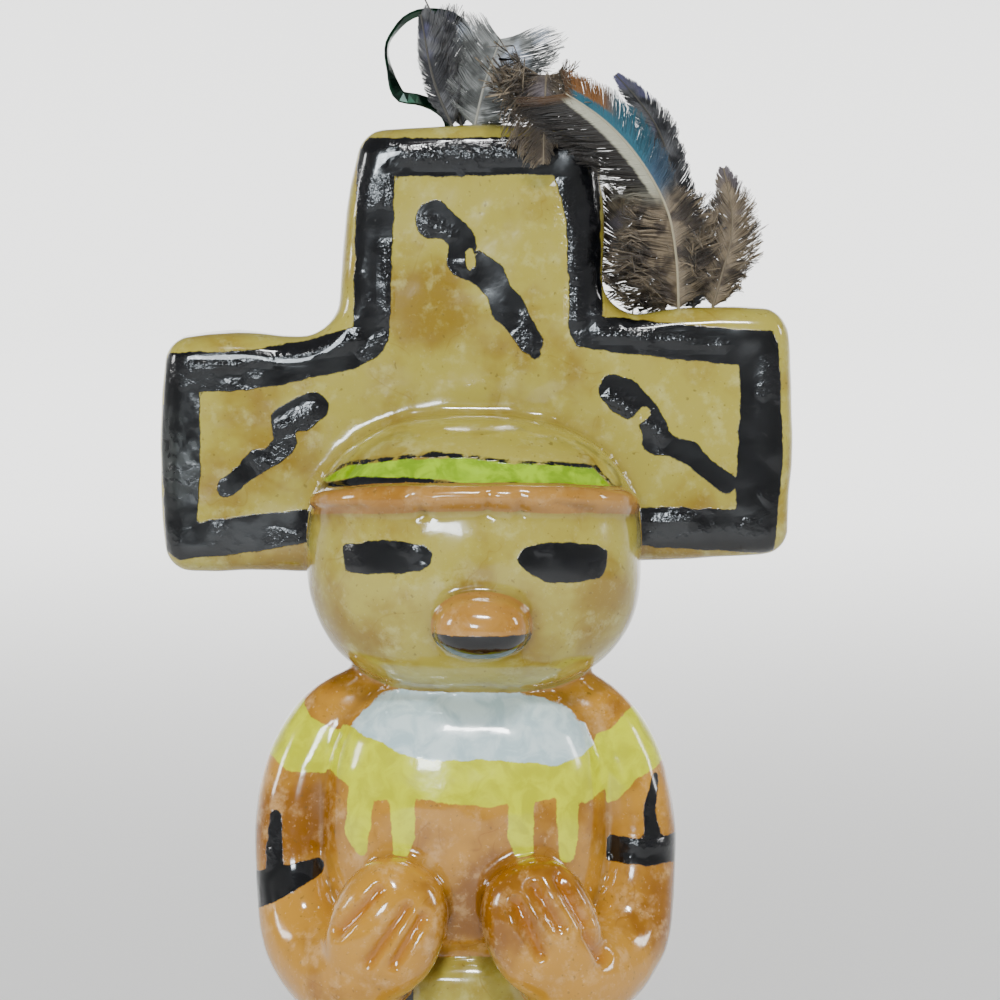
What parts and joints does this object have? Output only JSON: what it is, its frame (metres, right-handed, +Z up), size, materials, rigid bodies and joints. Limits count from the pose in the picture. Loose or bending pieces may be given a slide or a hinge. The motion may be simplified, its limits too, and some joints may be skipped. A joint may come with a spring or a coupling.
{
  "type": "kachina doll",
  "caption": "Small standing doll of painted, varnished dough with a stepped headdress slab, feathers and a wire hanging loop.",
  "frame": {"origin": "on the flat underside of the low base, below the middle of the doll's face", "axes": "+Z up along the doll, -Y the way the face looks, +X to the viewer's right"},
  "size_m": [0.0956, 0.046, 0.1953],
  "materials": {
    "painted_dough": "hand-painted baked dough under thick gloss varnish",
    "green_wire": "glossy dark green flat wire",
    "grey_feather": "soft grey down",
    "dark_feather": "dark grey-violet feather",
    "brown_feather": "soft brown down",
    "banded_feather": "dark feather with rust, teal and white bands"
  },
  "bodies": {
    "root": {"figure": "painted_dough", "hanging_loop": "green_wire", "feather_top_left": "dark_feather", "feather_top_tall": "dark_feather", "feather_top_plume": "grey_feather", "feather_top_brown": "brown_feather", "feather_side_banded": "banded_feather", "feather_side_violet": "dark_feather", "feather_side_short": "brown_feather", "feather_side_down": "brown_feather"}
  },
  "joints": []
}
